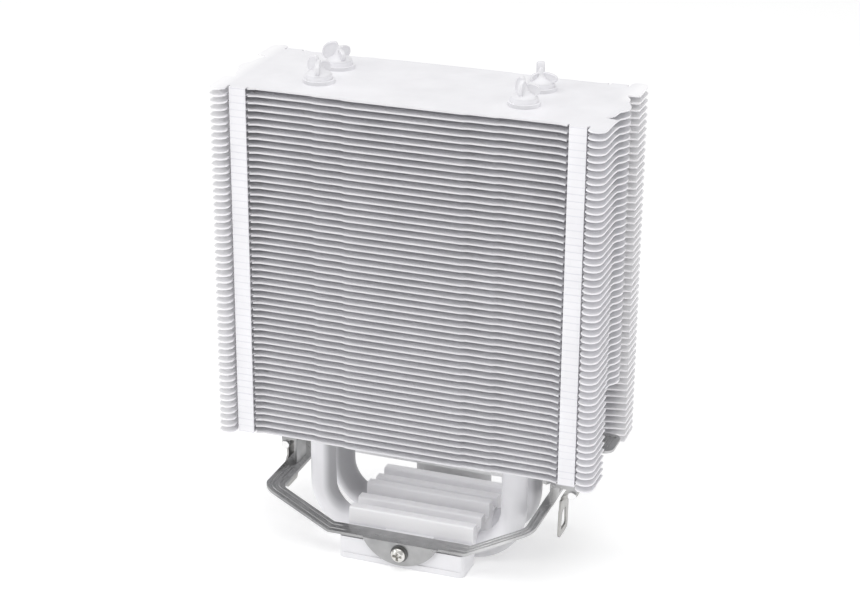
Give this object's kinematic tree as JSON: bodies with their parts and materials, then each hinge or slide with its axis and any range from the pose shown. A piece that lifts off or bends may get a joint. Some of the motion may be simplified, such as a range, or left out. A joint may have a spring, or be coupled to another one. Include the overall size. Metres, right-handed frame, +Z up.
{
  "type": "cpu tower cooler",
  "caption": "White tower heatsink with a fin stack on bent heat pipes, a ridged base block and a steel ring clip with hanging hooks.",
  "frame": {"origin": "centre of the base block's contact face", "axes": "+Z up through the fin stack, +X along the fins towards the finger tab, -Y towards the front air face"},
  "size_m": [0.1217, 0.053, 0.1565],
  "materials": {
    "white_coat": "smooth white powder coat, satin",
    "white_fin": "thin white paint on stamped sheet",
    "sintered_copper": "porous sintered copper lining",
    "dark_steel": "dark nickel-plated spring steel, satin",
    "satin_nickel": "satin nickel plate",
    "bright_steel": "bright plated steel"
  },
  "bodies": {
    "heatsink": {"base_block": "white_coat", "heat_pipe_front": "white_coat", "heat_pipe_rear": "white_coat", "wick_front": "sintered_copper", "wick_rear": "sintered_copper", "pipe_seals_front": "white_coat", "pipe_seals_rear": "white_coat", "top_fin": "white_fin", "fins_upper": "white_fin", "fins_middle": "white_fin", "fins_lower": "white_fin", "clip_screw_front": "bright_steel", "clip_screw_rear": "bright_steel", "screw_washer_front": "dark_steel", "screw_washer_rear": "dark_steel"},
    "clip": {"clip_frame": "dark_steel", "finger_tab": "dark_steel", "tab_rivets": "bright_steel", "hook_pin_left": "bright_steel", "hook_pin_right": "bright_steel"},
    "hook_left": {"hook_left": "satin_nickel"},
    "hook_right": {"hook_right": "satin_nickel"}
  },
  "joints": [
    {"name": "clip_rock", "type": "hinge", "parent": "heatsink", "child": "clip", "pos_m": [0, 0, 0.0054], "axis": [0, 1, 0], "range_deg": [-1.5, 1.5]},
    {"name": "hook_left_swing", "type": "hinge", "parent": "clip", "child": "hook_left", "pos_m": [-0.0462, 0, 0.0254], "axis": [0, 1, 0], "range_deg": [-0.8, 35]},
    {"name": "hook_right_swing", "type": "hinge", "parent": "clip", "child": "hook_right", "pos_m": [0.0486, 0, 0.0243], "axis": [0, -1, 0], "range_deg": [-8, 35]}
  ]
}
